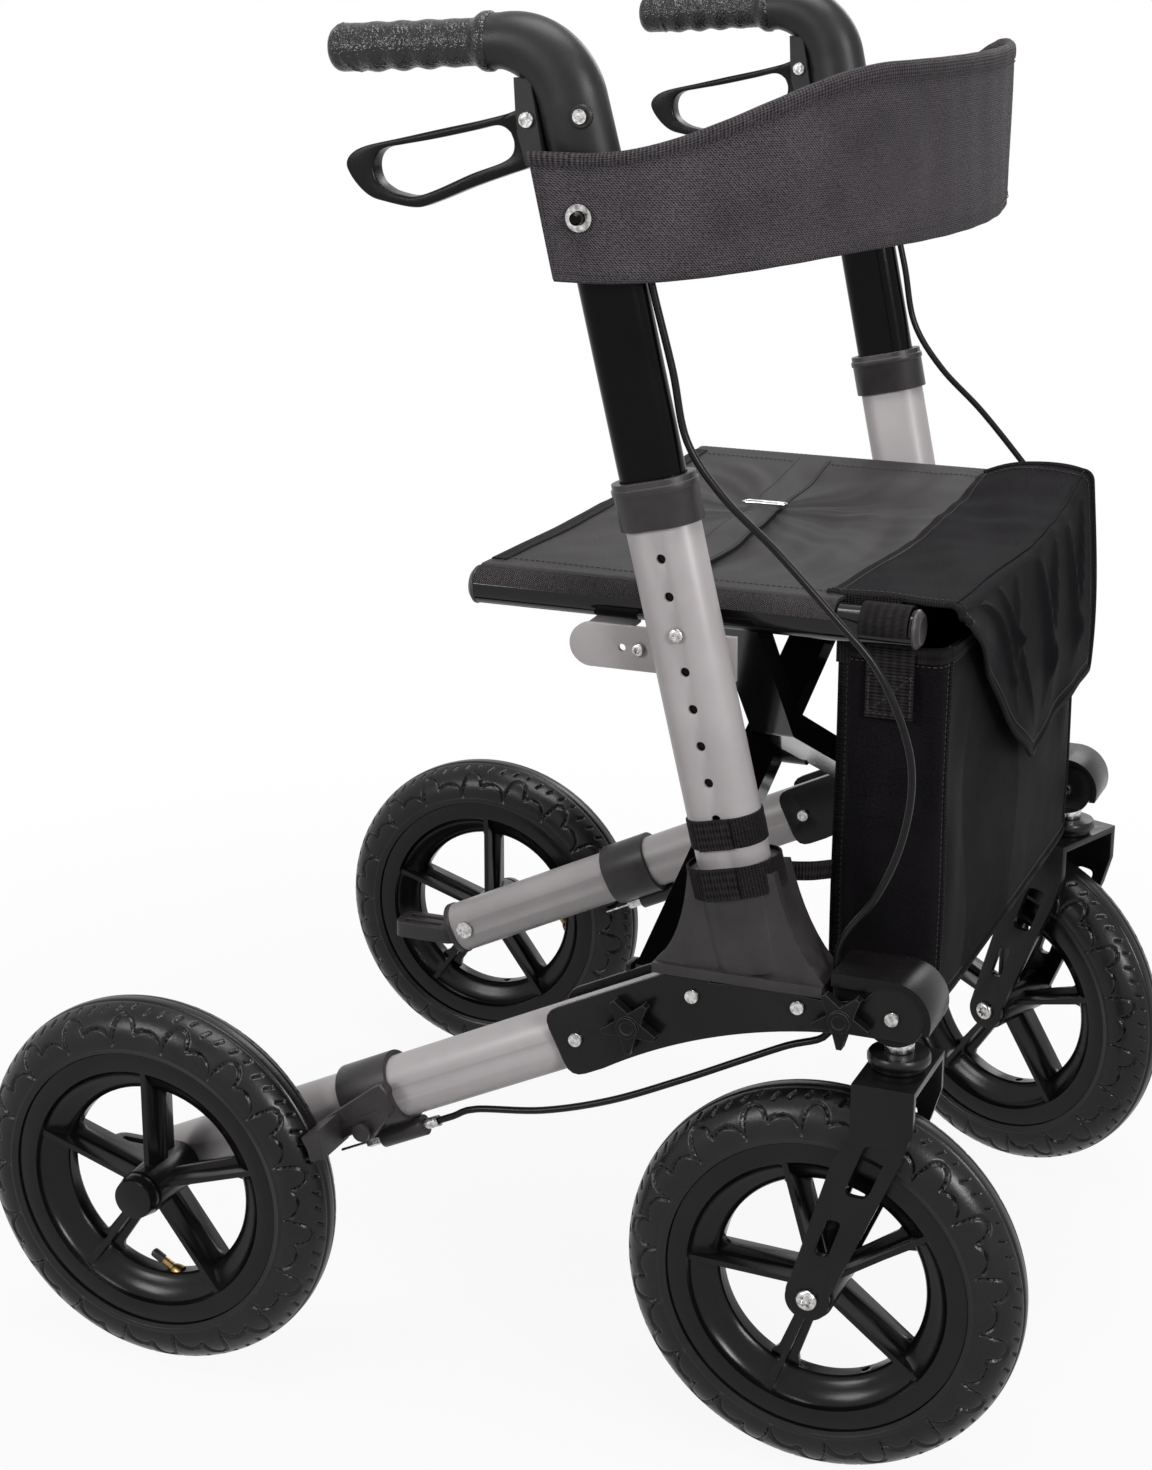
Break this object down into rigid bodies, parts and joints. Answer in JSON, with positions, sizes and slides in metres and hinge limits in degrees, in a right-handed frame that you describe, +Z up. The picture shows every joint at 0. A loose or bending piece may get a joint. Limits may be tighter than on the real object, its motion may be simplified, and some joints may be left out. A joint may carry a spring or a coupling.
{
  "type": "all terrain rollator",
  "caption": "Folding outdoor walking frame on large air tyres, with sprung hand brakes, height adjustable handles, sling seat, padded backrest band and a front bag.",
  "frame": {"origin": "on the ground, midway between the axles and between the side frames", "axes": "+X forward in the walking direction, +Y to the user's left, +Z up"},
  "size_m": [0.7689, 0.678, 0.965],
  "materials": {
    "grey_paint": "satin silver-grey powder coat on aluminium tube",
    "black_paint": "satin black powder coat",
    "black_gloss": "gloss black enamel on steel tube",
    "black_plastic": "moulded black nylon, fine grain",
    "bright_steel": "zinc plated bright steel",
    "tyre_rubber": "black tyre rubber",
    "grip_rubber": "black textured soft rubber",
    "cable_jacket": "smooth black cable jacket",
    "seat_cloth": "black coated nylon",
    "bag_cloth": "black woven nylon",
    "backrest_cloth": "padded charcoal black woven nylon"
  },
  "bodies": {
    "frame_right": {"side_plates_right": "black_paint", "post_socket_right": "black_plastic", "lower_tube_right": "grey_paint", "collar_right": "black_plastic", "rear_leg_right": "grey_paint", "leg_end_right": "black_plastic", "brake_clamp_right": "black_plastic", "frame_hardware_right": "bright_steel", "head_block_right": "black_plastic", "seat_bracket_right": "grey_paint", "brake_cable_right": "cable_jacket"},
    "handle_right": {"handle_tube_right": "black_paint", "elbow_right": "black_plastic", "grip_right": "grip_rubber", "handle_screws_right": "bright_steel", "backrest": "backrest_cloth"},
    "brake_lever_right": {"brake_lever_right": "black_plastic"},
    "brake_arm_right": {"brake_arm_right": "black_plastic"},
    "backrest_pin_right": {"backrest_pin_right": "bright_steel"},
    "knob_rear_right": {"knob_rear_right": "black_plastic"},
    "knob_front_right": {"knob_front_right": "black_plastic"},
    "rear_wheel_right": {"rear_tyre_right": "tyre_rubber", "rear_rim_right": "black_plastic"},
    "castor_right": {"castor_fork_right": "black_paint", "castor_bearing_right": "bright_steel"},
    "front_wheel_right": {"front_tyre_right": "tyre_rubber", "front_rim_right": "black_plastic"},
    "frame_left": {"side_plates_left": "black_paint", "post_socket_left": "black_plastic", "lower_tube_left": "grey_paint", "collar_left": "black_plastic", "rear_leg_left": "grey_paint", "leg_end_left": "black_plastic", "brake_clamp_left": "black_plastic", "frame_hardware_left": "bright_steel", "head_block_left": "black_plastic", "seat_bracket_left": "grey_paint", "brake_cable_left": "cable_jacket"},
    "handle_left": {"handle_tube_left": "black_paint", "elbow_left": "black_plastic", "grip_left": "grip_rubber", "handle_screws_left": "bright_steel"},
    "brake_lever_left": {"brake_lever_left": "black_plastic"},
    "brake_arm_left": {"brake_arm_left": "black_plastic"},
    "backrest_pin_left": {"backrest_pin_left": "bright_steel"},
    "knob_rear_left": {"knob_rear_left": "black_plastic"},
    "knob_front_left": {"knob_front_left": "black_plastic"},
    "rear_wheel_left": {"rear_tyre_left": "tyre_rubber", "rear_rim_left": "black_plastic"},
    "castor_left": {"castor_fork_left": "black_paint", "castor_bearing_left": "bright_steel"},
    "front_wheel_left": {"front_tyre_left": "tyre_rubber", "front_rim_left": "black_plastic"},
    "bag": {"bag": "bag_cloth"},
    "brace_left": {"brace_bar_left": "black_gloss", "rail_caps_left": "black_plastic", "brace_bolt": "bright_steel", "seat_sling": "seat_cloth"},
    "brace_right": {"brace_bar_right": "black_gloss", "rail_caps_right": "black_plastic"}
  },
  "joints": [
    {"name": "fold", "type": "hinge", "parent": "frame_right", "child": "brace_left", "pos_m": [0.11, -0.2188, 0.324], "axis": [1, 0, 0], "range_deg": [0, 44], "deforming": ["seat_sling", "bag", "backrest"]},
    {"name": "fold_cross", "type": "hinge", "parent": "brace_left", "child": "brace_right", "pos_m": [0.135, 0, 0.426], "axis": [1, 0, 0], "range_deg": [-88, 0]},
    {"name": "fold_side", "type": "hinge", "parent": "brace_right", "child": "frame_left", "pos_m": [0.16, 0.2188, 0.324], "axis": [1, 0, 0], "range_deg": [0, 44]},
    {"name": "bag_hang", "type": "hinge", "parent": "brace_right", "child": "bag", "pos_m": [0.248, -0.217, 0.587], "axis": [1, 0, 0], "range_deg": [0, 44]},
    {"name": "handle_height_right", "type": "slide", "parent": "frame_right", "child": "handle_right", "axis": [-0.2197, -0.0314, 0.9751], "range_m": [-0.125, 0.05], "deforming": ["brake_cable_right"]},
    {"name": "brake_lever_right", "type": "hinge", "parent": "handle_right", "child": "brake_lever_right", "pos_m": [0.04051, -0.27248, 0.90116], "axis": [0, 1, 0], "range_deg": [0, 18], "stiffness_Nm_per_rad": 1.5, "springref_deg": -8.59},
    {"name": "brake_arm_right", "type": "hinge", "parent": "frame_right", "child": "brake_arm_right", "pos_m": [-0.08435, -0.283, 0.20154], "axis": [0, 1, 0], "range_deg": [-4, 0]},
    {"name": "backrest_pin_right", "type": "slide", "parent": "handle_right", "child": "backrest_pin_right", "axis": [-0.0069, 0.9995, 0.0306], "range_m": [0, 0.004], "stiffness_N_per_m": 400, "springref_m": -0.003},
    {"name": "knob_rear_right", "type": "hinge", "parent": "frame_right", "child": "knob_rear_right", "pos_m": [0.11233, -0.2792, 0.31173], "axis": [0, -1, 0], "continuous": true},
    {"name": "knob_front_right", "type": "hinge", "parent": "frame_right", "child": "knob_front_right", "pos_m": [0.2585, -0.2792, 0.34], "axis": [0, -1, 0], "continuous": true},
    {"name": "rear_wheel_right", "type": "hinge", "parent": "frame_right", "child": "rear_wheel_right", "pos_m": [-0.2445, -0.3, 0.14], "axis": [0, 1, 0], "continuous": true},
    {"name": "castor_swivel_right", "type": "hinge", "parent": "frame_right", "child": "castor_right", "pos_m": [0.2905, -0.253, 0.343], "axis": [0, 0, 1], "continuous": true},
    {"name": "front_wheel_right", "type": "hinge", "parent": "castor_right", "child": "front_wheel_right", "pos_m": [0.2445, -0.253, 0.14], "axis": [0, 1, 0], "continuous": true},
    {"name": "handle_height_left", "type": "slide", "parent": "frame_left", "child": "handle_left", "axis": [-0.2197, 0.0314, 0.9751], "range_m": [-0.125, 0.05], "deforming": ["brake_cable_left"]},
    {"name": "brake_lever_left", "type": "hinge", "parent": "handle_left", "child": "brake_lever_left", "pos_m": [0.04051, 0.27248, 0.90116], "axis": [0, 1, 0], "range_deg": [0, 18], "stiffness_Nm_per_rad": 1.5, "springref_deg": -8.59},
    {"name": "brake_arm_left", "type": "hinge", "parent": "frame_left", "child": "brake_arm_left", "pos_m": [-0.08435, 0.283, 0.20154], "axis": [0, 1, 0], "range_deg": [-4, 0]},
    {"name": "backrest_pin_left", "type": "slide", "parent": "handle_left", "child": "backrest_pin_left", "axis": [-0.0069, -0.9995, 0.0306], "range_m": [0, 0.004], "stiffness_N_per_m": 400, "springref_m": -0.003},
    {"name": "knob_rear_left", "type": "hinge", "parent": "frame_left", "child": "knob_rear_left", "pos_m": [0.11233, 0.2792, 0.31173], "axis": [0, 1, 0], "continuous": true},
    {"name": "knob_front_left", "type": "hinge", "parent": "frame_left", "child": "knob_front_left", "pos_m": [0.2585, 0.2792, 0.34], "axis": [0, 1, 0], "continuous": true},
    {"name": "rear_wheel_left", "type": "hinge", "parent": "frame_left", "child": "rear_wheel_left", "pos_m": [-0.2445, 0.3, 0.14], "axis": [0, 1, 0], "continuous": true},
    {"name": "castor_swivel_left", "type": "hinge", "parent": "frame_left", "child": "castor_left", "pos_m": [0.2905, 0.253, 0.343], "axis": [0, 0, 1], "continuous": true},
    {"name": "front_wheel_left", "type": "hinge", "parent": "castor_left", "child": "front_wheel_left", "pos_m": [0.24755, 0.26948, 0.14], "axis": [0.3584, 0.9336, 0], "continuous": true}
  ],
  "couplings": [
    {"joint": "fold_cross", "follows": "fold", "ratio": -2},
    {"joint": "fold_side", "follows": "fold", "ratio": 1},
    {"joint": "bag_hang", "follows": "fold", "ratio": 1},
    {"joint": "brake_arm_right", "follows": "brake_lever_right", "ratio": -0.22222},
    {"joint": "brake_arm_left", "follows": "brake_lever_left", "ratio": -0.22222}
  ]
}
